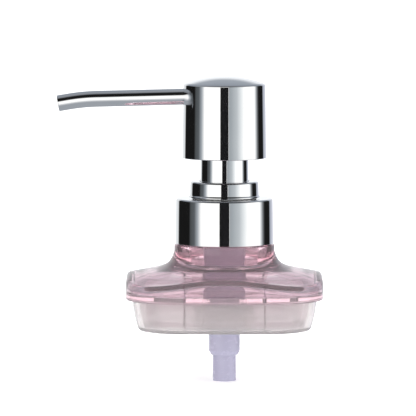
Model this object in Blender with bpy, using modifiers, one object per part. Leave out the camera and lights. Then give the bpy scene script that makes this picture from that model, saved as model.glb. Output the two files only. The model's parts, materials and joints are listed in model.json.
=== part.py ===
"""Pump lid of a soap dispenser: a flared plastic lid, its packing, and a chromed lotion pump.

Run with: blender --background --python part.py
Metres, +Z up. The origin is on the pump's axis, in the plane where the lid's ledge sits on the
bottle's rim. The spout points along -X. Every joint's axis is the Z axis through the origin.
"""
import math

import bmesh
import bpy
from mathutils import Matrix, Vector

# ---------------------------------------------------------------- clearances and fineness
GAP = 0.0003  # left between pieces that touch or run on each other
STEPS = 32  # sides of the large round pieces
FINE_STEPS = 24  # sides of the small round pieces

# ---------------------------------------------------------------- lid
LID_HALF_WIDTH = 0.0360
LID_FLAT_HALF = 0.0146  # half the straight part of each side, between the rounded corners
LID_EDGE_HIGH = 0.0069  # height of the wall at the middle of a side
LID_EDGE_LOW = 0.0041  # height of the wall at a corner
LID_EDGE_FILLET = 0.0020
LID_WALL = 0.0022
DECK_THICKNESS = 0.0018
DECK_TOP = 0.0118  # where the deck's slope would reach the land, without the flare
FLARE_REACH = 0.0014  # how quickly the flare dies away from the land
BASE_THICKNESS = 0.0024
LAND_STEP = 0.0004  # how far the land under the collar stands out past the collar
LAND_BOTTOM = 0.0167
LAND_TOP = 0.0190
NECK_RADIUS = 0.0148
NECK_BORE = 0.0130
NECK_HEIGHT = 0.0126  # above the land

# ---------------------------------------------------------------- screw thread of neck and collar
THREAD_PITCH = 0.0030
THREAD_TURNS = 1.25
THREAD_DEPTH = 0.0007
THREAD_ROOT_WIDTH = 0.0015
THREAD_CREST_WIDTH = 0.0007

# ---------------------------------------------------------------- packing and the spigot inside it
PACKING_INSET = 0.0025  # width of the ledge that rests on the bottle's rim
PACKING_DEPTH = 0.0113
PACKING_DRAFT = 0.0022  # how much narrower the packing is at its bottom
PACKING_BULGE = 1.8  # power of the draft's curve: 1 is straight
PACKING_WALL = 0.0022
PACKING_FLOOR = 0.0013
PACKING_FILLET = 0.0016
LIP_RECESS = 0.0006  # depth of the groove under the lid that the packing's top sits in
HUB_WALL = 0.0031
HUB_HEIGHT = 0.0077  # from the packing's underside to the top of its hub
HUB_STEP = 0.0025  # from the packing's underside to the step in the hub's bore
SPIGOT_DEPTH = 0.0085
SPIGOT_WALL = 0.0022

# ---------------------------------------------------------------- collar
LINER_WALL = 0.0010
COLLAR_WALL = 0.00093
COLLAR_DRAFT = 0.00023
COLLAR_ROOF = 0.0012
COLLAR_CHAMFER = 0.0006

# ---------------------------------------------------------------- pump body
GASKET_THICKNESS = 0.0010
FLANGE_THICKNESS = 0.0012
BARREL_BORE = 0.0066
BARREL_WALL = 0.0012
BARREL_DEPTH = 0.0383  # from the flange's top to the ledge that holds the ball retainer
SHOULDER_DROP = 0.0011  # from that ledge to the top of the shoulder outside
SHOULDER_HEIGHT = 0.0035
NOZZLE_WALL = 0.00115
NOZZLE_CHAMFER = 0.0014
THROAT_LENGTH = 0.0015
SOCKET_DEPTH = 0.0094
VENT_RADIUS = 0.0006
VENT_BELOW_FLANGE = 0.0055
DIP_TUBE_RADIUS = 0.00425
DIP_TUBE_BORE = 0.00325
DIP_TUBE_LENGTH = 0.0187
BALL_RADIUS = 0.00275
BALL_LIFT = 0.0015
BALL_SIDE_ROOM = 0.00075
RETAINER_THICKNESS = 0.0010
RETAINER_PORTS = 3
RETAINER_PORT_RADIUS = 0.0007
RETAINER_PORT_CIRCLE = 0.0025
RETAINER_BORE = 0.0011

# ---------------------------------------------------------------- chaplet, step ring, sleeve
CHAPLET_RADIUS = 0.0114
CHAPLET_DISC = 0.0043
CHAPLET_PLUG = 0.0044  # how far its plug goes down into the barrel
CHAPLET_BOSS = 0.0040
COLLAR_HOLE_ROOM = 0.0005
STEP_WALL = 0.00085
STEP_FOOT_FLARE = 0.00045
STEP_DRAFT = 0.00015
STEP_CHAMFER = 0.0006
STEP_HEIGHT = 0.0060
STEP_ROOF = 0.0010
SLEEVE_BORE = 0.0078
SLEEVE_WALL = 0.0011
SLEEVE_DRAFT = 0.00015
SLEEVE_FOOT = 0.0014
SLEEVE_RISE = 0.0116  # above the step ring
WIPER_HEIGHT = 0.0016

# ---------------------------------------------------------------- plunger, piston and spring
STROKE = 0.0140
STEM_RADIUS = 0.0040
STEM_BORE = 0.0026
STEM_FLANGE = 0.0012
STEM_FLANGE_HEIGHT = 0.0011
PISTON_SLIP = 0.0012
PISTON_HEIGHT = 0.0038
PISTON_LIP = 0.0010
SEAT_RADIUS = 0.0056
SEAT_HEIGHT = 0.0015
SEAT_ROD_INSERT = 0.0071
SEAT_BORE = 0.0011
SPRING_WIRE = 0.0009
SPRING_TURNS = 7
SPRING_CLOSED_PITCH = 0.0011
SPRING_POINTS = 10  # to a turn

# ---------------------------------------------------------------- head and spout
SKIRT_CLEARANCE = 0.00115  # from the step ring's foot to the inside of the head's skirt
HEAD_STOP = 0.00075  # left between the head and the collar when the head is pressed down
HEAD_WALL = 0.0013
HEAD_DRAFT = 0.0004
HEAD_FILLET = 0.0005
DOME_RISE = 0.0031
SLEEVE_ROOM = 0.0008  # left between the sleeve and the head's core when pressed down
CORE_BOSS_LENGTH = 0.0046
CORE_FLOOR = 0.00125
CORE_ROOF = 0.00055
STEM_INSERT = 0.0060
SPOUT_RADIUS = 0.0030
SPOUT_BORE = 0.0022
SPOUT_DROOP = math.radians(1.4)
SPOUT_TIP_DROOP = math.radians(9.6)
SPOUT_INSERT = 0.0101
SPOUT_STRAIGHT = 0.0313
SPOUT_BEND = 0.0104  # length of the bend along the centreline
SPOUT_TIP = 0.0040

# ---------------------------------------------------------------- worked out from the sizes above
LINER_BORE = NECK_RADIUS + THREAD_DEPTH + GAP
LINER_RADIUS = LINER_BORE + LINER_WALL
COLLAR_INSIDE = LINER_RADIUS + GAP
COLLAR_RADIUS = COLLAR_INSIDE + COLLAR_WALL
LAND_RADIUS = COLLAR_RADIUS + LAND_STEP

PACKING_TOP = LIP_RECESS - GAP
NECK_TOP = LAND_TOP + NECK_HEIGHT
THREAD_START = LAND_TOP + (NECK_HEIGHT - THREAD_TURNS * THREAD_PITCH) / 2
GASKET_BOTTOM = NECK_TOP + GAP
FLANGE_BOTTOM = GASKET_BOTTOM + GASKET_THICKNESS + GAP
FLANGE_TOP = FLANGE_BOTTOM + FLANGE_THICKNESS
FLANGE_RADIUS = LINER_BORE - 2 * GAP
COLLAR_BOTTOM = LAND_TOP + GAP
COLLAR_CEILING = FLANGE_TOP + GAP
COLLAR_TOP = COLLAR_CEILING + COLLAR_ROOF
COLLAR_HOLE = CHAPLET_RADIUS + COLLAR_HOLE_ROOM

BARREL_RADIUS = BARREL_BORE + BARREL_WALL
LEDGE = FLANGE_TOP - BARREL_DEPTH
BALL_CENTRE = LEDGE - BALL_LIFT - BALL_RADIUS
CHAMBER_RADIUS = BALL_RADIUS + BALL_SIDE_ROOM
THROAT_RADIUS = 0.55 * BALL_RADIUS  # under the ball's circle of contact on a 45 degree seat
SEAT_APEX = BALL_CENTRE - (BALL_RADIUS + GAP) * math.sqrt(2)
SOCKET_TOP = SEAT_APEX + THROAT_RADIUS - THROAT_LENGTH
NOZZLE_END = SOCKET_TOP - SOCKET_DEPTH
SOCKET_RADIUS = DIP_TUBE_RADIUS + GAP
NOZZLE_RADIUS = SOCKET_RADIUS + NOZZLE_WALL
SHOULDER_TOP = LEDGE - SHOULDER_DROP
SHOULDER_BOTTOM = SHOULDER_TOP - SHOULDER_HEIGHT
RETAINER_BOTTOM = LEDGE + GAP
RETAINER_TOP = RETAINER_BOTTOM + RETAINER_THICKNESS

CHAPLET_BOTTOM = FLANGE_TOP + GAP
CHAPLET_DISC_TOP = CHAPLET_BOTTOM + CHAPLET_DISC
STEP_BOTTOM = COLLAR_TOP + GAP
STEP_TOP = STEP_BOTTOM + STEP_HEIGHT
STEP_INSIDE = CHAPLET_RADIUS + GAP
STEP_RADIUS = STEP_INSIDE + STEP_WALL + STEP_DRAFT
STEP_FOOT_RADIUS = STEP_RADIUS + STEP_FOOT_FLARE - STEP_DRAFT
SLEEVE_RADIUS = SLEEVE_BORE + SLEEVE_WALL
SLEEVE_TOP = STEP_TOP + SLEEVE_RISE

GUIDE_BORE = STEM_RADIUS + GAP
STEM_FLANGE_TOP = FLANGE_TOP - CHAPLET_PLUG
STEM_BOTTOM = STEM_FLANGE_TOP - STEM_FLANGE_HEIGHT
PISTON_TOP = STEM_BOTTOM - GAP - PISTON_SLIP
PISTON_BOTTOM = PISTON_TOP - PISTON_HEIGHT
SEAT_TOP = PISTON_BOTTOM - GAP
SEAT_BOTTOM = SEAT_TOP - SEAT_HEIGHT
ROD_RADIUS = STEM_BORE - GAP

CORE_BOTTOM = SLEEVE_TOP + STROKE + SLEEVE_ROOM
SPOUT_HEIGHT = CORE_BOTTOM + CORE_FLOOR + GAP + SPOUT_RADIUS
CORE_TOP = SPOUT_HEIGHT + SPOUT_RADIUS + GAP + CORE_ROOF
HEAD_BOTTOM = COLLAR_TOP + STROKE + HEAD_STOP
HEAD_CEILING = CORE_TOP + GAP
HEAD_SHOULDER = HEAD_CEILING + GAP
HEAD_INSIDE = STEP_FOOT_RADIUS + SKIRT_CLEARANCE
HEAD_RADIUS = HEAD_INSIDE + HEAD_WALL
CORE_RADIUS = HEAD_INSIDE - HEAD_DRAFT - GAP
CORE_BOSS_BOTTOM = CORE_BOTTOM - CORE_BOSS_LENGTH
STEM_TOP = CORE_BOSS_BOTTOM + STEM_INSERT


# ---------------------------------------------------------------- scene helpers
def clear_scene():
    for obj in list(bpy.data.objects):
        bpy.data.objects.remove(obj)


def collection(name, hidden=False):
    made = bpy.data.collections.new(name)
    made.hide_render = hidden
    bpy.context.scene.collection.children.link(made)
    return made


def material(name, colour, roughness, metallic=0.0, transmission=0.0):
    made = bpy.data.materials.new(name)
    made.use_nodes = True
    shader = made.node_tree.nodes["Principled BSDF"]
    shader.inputs["Base Color"].default_value = (*colour, 1.0)
    shader.inputs["Roughness"].default_value = roughness
    shader.inputs["Metallic"].default_value = metallic
    shader.inputs["Transmission Weight"].default_value = transmission
    made.diffuse_color = (*colour, 1.0)
    return made


def body_frame(name, height):
    """The empty that carries one moving body, on the axis of the body's joint."""
    empty = bpy.data.objects.new(name, None)
    empty.empty_display_size = 0.01
    empty.location = (0.0, 0.0, height)
    PARTS.objects.link(empty)
    return empty


def finish_part(obj, frame, look):
    """Link a part to its collection, give it its material and hang it on its body's empty."""
    for holder in list(obj.users_collection):
        holder.objects.unlink(obj)
    PARTS.objects.link(obj)
    obj.data.materials.clear()
    obj.data.materials.append(look)
    obj.data.shade_smooth()
    obj.data.set_sharp_from_angle(angle=math.radians(35))
    obj.parent = frame
    obj.location.z -= frame.location.z
    return obj


def as_cutter(obj):
    for holder in list(obj.users_collection):
        holder.objects.unlink(obj)
    CUTTERS.objects.link(obj)
    obj.hide_render = True
    obj.display_type = "WIRE"
    return obj


def combine(obj, other, operation):
    step = obj.modifiers.new(other.name, "BOOLEAN")
    step.operation = operation
    step.solver = "EXACT"
    step.object = other
    return obj


# ---------------------------------------------------------------- shape helpers
def turned(name, profile, steps=FINE_STEPS, at=0.0, closed=True):
    """Turn (radius, height) points about Z. The outline runs down its outer side; at is its origin."""
    mesh = bpy.data.meshes.new(name)
    points = [(radius, 0.0, height - at) for radius, height in profile]
    edges = [(i, i + 1) for i in range(len(points) - 1)]
    if closed:
        edges.append((len(points) - 1, 0))
    mesh.from_pydata(points, edges, [])
    obj = bpy.data.objects.new(name, mesh)
    obj.location.z = at
    screw = obj.modifiers.new("turn", "SCREW")
    screw.axis = "Z"
    screw.angle = math.tau
    screw.steps = steps
    screw.render_steps = steps
    screw.use_merge_vertices = True
    screw.merge_threshold = 0.00001
    screw.use_smooth_shade = True
    return obj


def ring_profile(inner, outer, bottom, top, chamfer=0.0):
    """A washer's section, with its outer edges chamfered, running down its outer side."""
    if not chamfer:
        return [(outer, top), (outer, bottom), (inner, bottom), (inner, top)]
    return [
        (outer - chamfer, top),
        (outer, top - chamfer),
        (outer, bottom + chamfer),
        (outer - chamfer, bottom),
        (inner, bottom),
        (inner, top),
    ]


def loft(name, rings, closed):
    """Skin rings of equally many points. A closed loft joins its last ring to its first."""
    shape = bmesh.new()
    loops = [[shape.verts.new(point) for point in ring] for ring in rings]
    pairs = list(zip(loops, loops[1:] + loops[:1] if closed else loops[1:]))
    for first, second in pairs:
        for i in range(len(first)):
            j = (i + 1) % len(first)
            shape.faces.new((first[i], first[j], second[j], second[i]))
    if not closed:
        shape.faces.new(loops[0])
        shape.faces.new(reversed(loops[-1]))
    bmesh.ops.recalc_face_normals(shape, faces=shape.faces)
    mesh = bpy.data.meshes.new(name)
    shape.to_mesh(mesh)
    shape.free()
    return bpy.data.objects.new(name, mesh)


def rod_cutter(name, radius, start, end, sides=FINE_STEPS):
    """A cylinder from start to end, used to bore another piece."""
    start, end = Vector(start), Vector(end)
    run = end - start
    bpy.ops.mesh.primitive_cylinder_add(
        vertices=sides,
        radius=radius,
        depth=run.length,
        location=(start + end) / 2,
        rotation=run.to_track_quat("Z", "X").to_euler(),
    )
    cutter = bpy.context.active_object
    cutter.name = name
    return as_cutter(cutter)


def plan_stations(flat_half, flat_steps=4, corner_steps=8):
    """(centre, outward direction) around a square with rounded corners.

    The outline at corner radius r is centre + r * direction, so outlines of the same square at
    other radii are true offsets, and the creases between sides and corners line up.
    """
    stations = []
    for side in range(4):
        turn = Matrix.Rotation(side * math.pi / 2, 2)
        for i in range(flat_steps):
            along = flat_half * (2 * i / flat_steps - 1)
            stations.append((turn @ Vector((flat_half, along)), turn @ Vector((1.0, 0.0))))
        for i in range(corner_steps):
            angle = math.pi / 2 * i / corner_steps
            corner = turn @ Vector((flat_half, flat_half))
            stations.append((corner, turn @ Vector((math.cos(angle), math.sin(angle)))))
    return stations


def plan_ring(half_width, height):
    """The lid's rounded square at a half width. height is a number, or a function of the angle."""
    radius = half_width - LID_FLAT_HALF
    ring = []
    for centre, direction in STATIONS:
        x, y = centre + radius * direction
        z = height(math.atan2(y, x)) if callable(height) else height
        ring.append(Vector((x, y, z)))
    return ring


def round_ring(radius, height):
    """A circle whose points lie at the same angles as those of the lid's outline."""
    outline = plan_ring(LID_HALF_WIDTH, 0.0)
    return [point.normalized() * radius + Vector((0.0, 0.0, height)) for point in outline]


def helix_ridge(name, root, crest, start_height, sink):
    """A screw thread's ridge from radius root to crest, with run-outs, sunk into its wall."""
    count = round(THREAD_TURNS * STEPS)
    outward = 1 if crest > root else -1
    rings = []
    for i in range(count + 1):
        angle = math.tau * THREAD_TURNS * i / count
        middle = start_height + THREAD_PITCH * THREAD_TURNS * i / count
        ends = min(1.0, 0.15 + min(i, count - i) / 3)
        top = root + (crest - root) * ends
        out = Vector((math.cos(angle), math.sin(angle), 0.0))
        half_root, half_crest = THREAD_ROOT_WIDTH / 2 * ends, THREAD_CREST_WIDTH / 2 * ends
        section = [
            (root - outward * sink, -half_root),
            (root, -half_root),
            (top, -half_crest),
            (top, half_crest),
            (root, half_root),
            (root - outward * sink, half_root),
        ]
        rings.append([out * radius + Vector((0, 0, middle + rise)) for radius, rise in section])
    return as_cutter(loft(name, rings, closed=False))


# ---------------------------------------------------------------- lid
def edge_height(angle):
    """Height of the lid's wall: high at the middle of each side and low at the corners."""
    side = (1 + math.cos(4 * angle)) / 2
    return LID_EDGE_LOW + (LID_EDGE_HIGH - LID_EDGE_LOW) * side**0.8


def deck_ring(share, lift=0.0, flare=True):
    """A ring of the deck: share 0 is at the land and 1 where the edge's fillet starts."""
    inner = round_ring(LAND_RADIUS, 0.0)
    outer = plan_ring(LID_HALF_WIDTH - LID_EDGE_FILLET, 0.0)
    ring = []
    for near, far in zip(inner, outer):
        point = near.lerp(far, share)
        rim = edge_height(math.atan2(point.y, point.x)) + LID_EDGE_FILLET
        point.z = DECK_TOP + (rim - DECK_TOP) * share + lift
        if flare:
            reach = (point.xy - near.xy).length
            point.z += (LAND_BOTTOM - DECK_TOP) * math.exp(-reach / FLARE_REACH)
        ring.append(point)
    return ring


def make_lid_cover(frame, look):
    floor = BASE_THICKNESS + GAP
    wall_inside = LID_HALF_WIDTH - LID_WALL
    rings = [
        round_ring(NECK_RADIUS - THREAD_DEPTH, NECK_TOP),
        round_ring(NECK_RADIUS, NECK_TOP - THREAD_DEPTH),
        round_ring(NECK_RADIUS, LAND_TOP),
        round_ring(LAND_RADIUS - GAP, LAND_TOP),
        round_ring(LAND_RADIUS, LAND_TOP - GAP),
    ]
    rings += [deck_ring(share) for share in (0.0, 0.03, 0.07, 0.13, 0.22, 0.38, 0.68)]
    for degrees in (0, 30, 60, 90):
        turn = math.radians(degrees)
        half_width = LID_HALF_WIDTH - LID_EDGE_FILLET * (1 - math.sin(turn))
        rise = LID_EDGE_FILLET * math.cos(turn)
        rings.append(plan_ring(half_width, lambda angle: edge_height(angle) + rise))
    rings.append(plan_ring(LID_HALF_WIDTH, floor))
    rings.append(plan_ring(wall_inside, floor))
    ceiling = LID_EDGE_FILLET - DECK_THICKNESS
    rings.append(plan_ring(wall_inside, lambda angle: edge_height(angle) + ceiling))
    rings.append(deck_ring(0.5, -DECK_THICKNESS, flare=False))
    rings.append(deck_ring(0.0, -DECK_THICKNESS, flare=False))
    rings.append(round_ring(NECK_BORE, DECK_TOP - DECK_THICKNESS + LID_EDGE_FILLET / 4))
    rings.append(round_ring(NECK_BORE, NECK_TOP))
    cover = loft("lid_cover", rings, closed=True)
    thread = helix_ridge(
        "neck_thread", NECK_RADIUS, NECK_RADIUS + THREAD_DEPTH, THREAD_START, 2 * GAP
    )
    combine(cover, thread, "UNION")
    return finish_part(cover, frame, look)


def packing_half_width(height):
    """Half width of the packing's outside at a height below the ledge."""
    depth = min(1.0, max(0.0, -height / PACKING_DEPTH))
    return LID_HALF_WIDTH - PACKING_INSET - PACKING_DRAFT * depth**PACKING_BULGE


def barrel_radius_at(height):
    """Radius of the barrel's outside at a height below its flange."""
    share = (SHOULDER_TOP - height) / SHOULDER_HEIGHT
    return BARREL_RADIUS + (NOZZLE_RADIUS - BARREL_RADIUS) * min(1.0, max(0.0, share))


def spigot_half_width(height):
    return packing_half_width(height) - PACKING_WALL - GAP


def make_lid_base(frame, look):
    low, middle = -SPIGOT_DEPTH, -SPIGOT_DEPTH / 2
    hole = barrel_radius_at(BASE_THICKNESS) + GAP  # the barrel only widens upwards
    groove = packing_half_width(0.0) + GAP
    rings = [
        plan_ring(LID_HALF_WIDTH, BASE_THICKNESS),
        plan_ring(LID_HALF_WIDTH, GAP),
        plan_ring(LID_HALF_WIDTH - GAP, 0.0),
        plan_ring(groove, 0.0),
        plan_ring(groove, LIP_RECESS),
        plan_ring(spigot_half_width(0.0), LIP_RECESS),
        plan_ring(spigot_half_width(middle), middle),
        plan_ring(spigot_half_width(low), low),
        plan_ring(spigot_half_width(low) - SPIGOT_WALL, low),
        plan_ring(spigot_half_width(0.0) - SPIGOT_WALL, 0.0),
        round_ring(hole, 0.0),
        round_ring(hole, BASE_THICKNESS),
    ]
    return finish_part(loft("lid_base", rings, closed=True), frame, look)


def make_packing(frame, look):
    bottom = -PACKING_DEPTH
    floor = bottom + PACKING_FLOOR
    hub_top = bottom + HUB_HEIGHT
    hub_step = bottom + HUB_STEP
    hub_bore = barrel_radius_at(hub_top) + GAP
    floor_bore = barrel_radius_at(hub_step) + GAP
    rings = [plan_ring(packing_half_width(PACKING_TOP), PACKING_TOP)]
    fillet_top = bottom + PACKING_FILLET
    for share in (0.35, 0.6, 0.8, 1.0):
        height = PACKING_TOP + (fillet_top - PACKING_TOP) * share
        rings.append(plan_ring(packing_half_width(height), height))
    for degrees in (30, 60, 90):
        turn = math.radians(degrees)
        inset = PACKING_FILLET * (1 - math.cos(turn))
        height = fillet_top - PACKING_FILLET * math.sin(turn)
        rings.append(plan_ring(packing_half_width(fillet_top) - inset, height))
    rings += [
        round_ring(floor_bore, bottom),
        round_ring(floor_bore, hub_step),
        round_ring(hub_bore, hub_step),
        round_ring(hub_bore, hub_top),
        round_ring(hub_bore + HUB_WALL, hub_top),
        round_ring(hub_bore + HUB_WALL, floor),
        plan_ring(packing_half_width(floor) - PACKING_WALL, floor),
        plan_ring(packing_half_width(-SPIGOT_DEPTH / 2) - PACKING_WALL, -SPIGOT_DEPTH / 2),
        plan_ring(packing_half_width(PACKING_TOP) - PACKING_WALL, PACKING_TOP),
    ]
    return finish_part(loft("packing", rings, closed=True), frame, look)


# ---------------------------------------------------------------- collar
def make_screw_collar(frame, look):
    top_radius = COLLAR_RADIUS - COLLAR_DRAFT
    profile = [
        (COLLAR_HOLE, COLLAR_TOP),
        (top_radius - COLLAR_CHAMFER, COLLAR_TOP),
        (top_radius - COLLAR_CHAMFER / 4, COLLAR_TOP - COLLAR_CHAMFER / 4),
        (top_radius, COLLAR_TOP - COLLAR_CHAMFER),
        (COLLAR_RADIUS, COLLAR_BOTTOM),
        (COLLAR_INSIDE, COLLAR_BOTTOM),
        (COLLAR_INSIDE, COLLAR_CEILING),
        (COLLAR_HOLE, COLLAR_CEILING),
    ]
    collar = turned("screw_collar", profile, STEPS, COLLAR_BOTTOM)
    return finish_part(collar, frame, look)


def make_collar_liner(frame, look):
    profile = ring_profile(
        LINER_BORE, LINER_RADIUS, COLLAR_BOTTOM + GAP, COLLAR_CEILING - GAP, LINER_WALL / 4
    )
    liner = turned("collar_liner", profile, STEPS, COLLAR_BOTTOM + GAP)
    thread = helix_ridge(
        "liner_thread",
        LINER_BORE,
        LINER_BORE - THREAD_DEPTH,
        THREAD_START - THREAD_PITCH / 2,
        2 * GAP,
    )
    combine(liner, thread, "UNION")
    return finish_part(liner, frame, look)


# ---------------------------------------------------------------- pump body
def make_barrel(frame, look):
    profile = [
        (FLANGE_RADIUS, FLANGE_TOP),
        (FLANGE_RADIUS, FLANGE_BOTTOM),
        (BARREL_RADIUS, FLANGE_BOTTOM),
        (BARREL_RADIUS, SHOULDER_TOP),
        (NOZZLE_RADIUS, SHOULDER_BOTTOM),
        (NOZZLE_RADIUS, NOZZLE_END + NOZZLE_CHAMFER),
        (SOCKET_RADIUS + NOZZLE_WALL / 4, NOZZLE_END),
        (SOCKET_RADIUS, NOZZLE_END),
        (SOCKET_RADIUS, SOCKET_TOP),
        (THROAT_RADIUS, SOCKET_TOP),
        (THROAT_RADIUS, SEAT_APEX + THROAT_RADIUS),
        (CHAMBER_RADIUS, SEAT_APEX + CHAMBER_RADIUS),
        (CHAMBER_RADIUS, LEDGE),
        (BARREL_BORE, LEDGE),
        (BARREL_BORE, FLANGE_TOP),
    ]
    barrel = turned("barrel", profile, at=FLANGE_BOTTOM)
    height = FLANGE_BOTTOM - VENT_BELOW_FLANGE
    reach = (0.0, 2 * BARREL_RADIUS, height)
    vent = rod_cutter("vent_cutter", VENT_RADIUS, (0.0, 0.0, height), reach, 12)
    return finish_part(combine(barrel, vent, "DIFFERENCE"), frame, look)


def make_neck_gasket(frame, look):
    profile = ring_profile(
        BARREL_RADIUS + GAP, NECK_RADIUS, GASKET_BOTTOM, GASKET_BOTTOM + GASKET_THICKNESS
    )
    return finish_part(turned("neck_gasket", profile, at=GASKET_BOTTOM), frame, look)


def make_dip_tube(frame, look):
    top = SOCKET_TOP - GAP
    profile = ring_profile(DIP_TUBE_BORE, DIP_TUBE_RADIUS, top - DIP_TUBE_LENGTH, top)
    return finish_part(turned("dip_tube", profile, at=top - DIP_TUBE_LENGTH), frame, look)


def make_ball_retainer(frame, look):
    profile = ring_profile(RETAINER_BORE, BARREL_BORE - GAP, RETAINER_BOTTOM, RETAINER_TOP)
    retainer = turned("ball_retainer", profile, at=RETAINER_BOTTOM)
    for i in range(RETAINER_PORTS):
        angle = math.tau * (i + 0.5) / RETAINER_PORTS
        x = RETAINER_PORT_CIRCLE * math.cos(angle)
        y = RETAINER_PORT_CIRCLE * math.sin(angle)
        low, high = RETAINER_BOTTOM - GAP, RETAINER_TOP + GAP
        port = rod_cutter(
            f"port_cutter_{i + 1}", RETAINER_PORT_RADIUS, (x, y, low), (x, y, high), 12
        )
        combine(retainer, port, "DIFFERENCE")
    return finish_part(retainer, frame, look)


def make_check_ball(frame, look):
    bpy.ops.mesh.primitive_uv_sphere_add(
        segments=20, ring_count=12, radius=BALL_RADIUS, location=(0.0, 0.0, BALL_CENTRE)
    )
    ball = bpy.context.active_object
    ball.name = "check_ball"
    return finish_part(ball, frame, look)


def make_chaplet(frame, look):
    plug_bottom = CHAPLET_BOTTOM - CHAPLET_PLUG
    boss = SLEEVE_BORE - GAP
    profile = [
        (boss, CHAPLET_DISC_TOP + CHAPLET_BOSS),
        (boss, CHAPLET_DISC_TOP),
        (CHAPLET_RADIUS, CHAPLET_DISC_TOP),
        (CHAPLET_RADIUS, CHAPLET_BOTTOM),
        (BARREL_BORE - GAP, CHAPLET_BOTTOM),
        (BARREL_BORE - GAP, plug_bottom),
        (GUIDE_BORE, plug_bottom),
        (GUIDE_BORE, CHAPLET_DISC_TOP + CHAPLET_BOSS),
    ]
    return finish_part(turned("chaplet", profile, at=CHAPLET_BOTTOM), frame, look)


def make_step_ring(frame, look):
    top_radius = STEP_RADIUS - STEP_DRAFT
    profile = [
        (SLEEVE_RADIUS + GAP, STEP_TOP),
        (top_radius - STEP_CHAMFER, STEP_TOP),
        (top_radius - STEP_CHAMFER / 4, STEP_TOP - STEP_CHAMFER / 4),
        (top_radius, STEP_TOP - STEP_CHAMFER),
        (STEP_RADIUS, STEP_BOTTOM + 2 * STEP_FOOT_FLARE),
        (STEP_FOOT_RADIUS, STEP_BOTTOM + STEP_FOOT_FLARE),
        (STEP_FOOT_RADIUS, STEP_BOTTOM),
        (STEP_INSIDE, STEP_BOTTOM),
        (STEP_INSIDE, STEP_TOP - STEP_ROOF),
        (SLEEVE_RADIUS + GAP, STEP_TOP - STEP_ROOF),
    ]
    return finish_part(turned("step_ring", profile, STEPS, STEP_BOTTOM), frame, look)


def make_neck_sleeve(frame, look):
    foot_bottom = CHAPLET_DISC_TOP + GAP
    foot_top = STEP_TOP - STEP_ROOF - GAP
    top_radius = SLEEVE_RADIUS - SLEEVE_DRAFT
    profile = [
        (top_radius - GAP, SLEEVE_TOP),
        (top_radius, SLEEVE_TOP - GAP),
        (SLEEVE_RADIUS, foot_top),
        (SLEEVE_RADIUS + SLEEVE_FOOT, foot_top),
        (SLEEVE_RADIUS + SLEEVE_FOOT, foot_bottom),
        (SLEEVE_BORE, foot_bottom),
        (SLEEVE_BORE, SLEEVE_TOP),
    ]
    return finish_part(turned("neck_sleeve", profile, STEPS, foot_bottom), frame, look)


def make_stem_wiper(frame, look):
    bottom = CHAPLET_DISC_TOP + CHAPLET_BOSS + GAP
    outer = SLEEVE_BORE - GAP
    profile = [
        (GUIDE_BORE + (outer - GUIDE_BORE) / 3, bottom + WIPER_HEIGHT),
        (outer, bottom + WIPER_HEIGHT / 2),
        (outer, bottom),
        (GUIDE_BORE, bottom),
        (GUIDE_BORE, bottom + WIPER_HEIGHT),
    ]
    return finish_part(turned("stem_wiper", profile, at=bottom), frame, look)


def spring_height(turn, bottom, top):
    """Height of the spring wire's centre: closed end turns and open turns between them."""
    open_turns = SPRING_TURNS - 2
    open_pitch = (top - bottom - 2 * SPRING_CLOSED_PITCH) / open_turns
    if turn < 1:
        return bottom + turn * SPRING_CLOSED_PITCH
    if turn > SPRING_TURNS - 1:
        return top - (SPRING_TURNS - turn) * SPRING_CLOSED_PITCH
    return bottom + SPRING_CLOSED_PITCH + (turn - 1) * open_pitch


def make_return_spring(frame, look):
    bottom = RETAINER_TOP + GAP + SPRING_WIRE / 2
    top = SEAT_BOTTOM - GAP - SPRING_WIRE / 2
    radius = (BARREL_BORE + ROD_RADIUS) / 2
    data = bpy.data.curves.new("return_spring", "CURVE")
    data.dimensions = "3D"
    data.bevel_depth = SPRING_WIRE / 2
    data.bevel_resolution = 2
    data.use_fill_caps = True
    count = SPRING_TURNS * SPRING_POINTS + 1
    spline = data.splines.new("POLY")
    spline.points.add(count - 1)
    for i, point in enumerate(spline.points):
        turn = i / SPRING_POINTS
        angle = math.tau * turn
        height = spring_height(turn, bottom, top) - bottom
        point.co = (radius * math.cos(angle), radius * math.sin(angle), height, 1.0)
    spring = bpy.data.objects.new("return_spring", data)
    spring.location.z = bottom - frame.location.z
    PARTS.objects.link(spring)
    data.materials.append(look)
    spring.parent = frame
    return spring


# ---------------------------------------------------------------- plunger
def make_stem(frame, look):
    profile = [
        (STEM_RADIUS, STEM_TOP),
        (STEM_RADIUS, STEM_FLANGE_TOP),
        (STEM_RADIUS + STEM_FLANGE, STEM_FLANGE_TOP),
        (STEM_RADIUS + STEM_FLANGE, STEM_BOTTOM),
        (STEM_BORE, STEM_BOTTOM),
        (STEM_BORE, STEM_TOP),
    ]
    return finish_part(turned("stem", profile, at=STEM_BOTTOM), frame, look)


def make_piston_seat(frame, look):
    rod_top = STEM_BOTTOM + SEAT_ROD_INSERT
    profile = [
        (0.0, rod_top),
        (ROD_RADIUS, rod_top),
        (ROD_RADIUS, SEAT_TOP),
        (SEAT_RADIUS, SEAT_TOP),
        (SEAT_RADIUS, SEAT_BOTTOM),
        (0.0, SEAT_BOTTOM),
    ]
    seat = turned("piston_seat", profile, at=SEAT_BOTTOM, closed=False)
    port = SEAT_TOP + 2 * SEAT_BORE
    bore = rod_cutter("seat_bore_cutter", SEAT_BORE, (0, 0, port), (0, 0, rod_top + GAP), 12)
    cross = rod_cutter(
        "seat_port_cutter", SEAT_BORE * 0.8, (-SEAT_RADIUS, 0, port), (SEAT_RADIUS, 0, port), 12
    )
    combine(seat, bore, "DIFFERENCE")
    combine(seat, cross, "DIFFERENCE")
    return finish_part(seat, frame, look)


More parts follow.
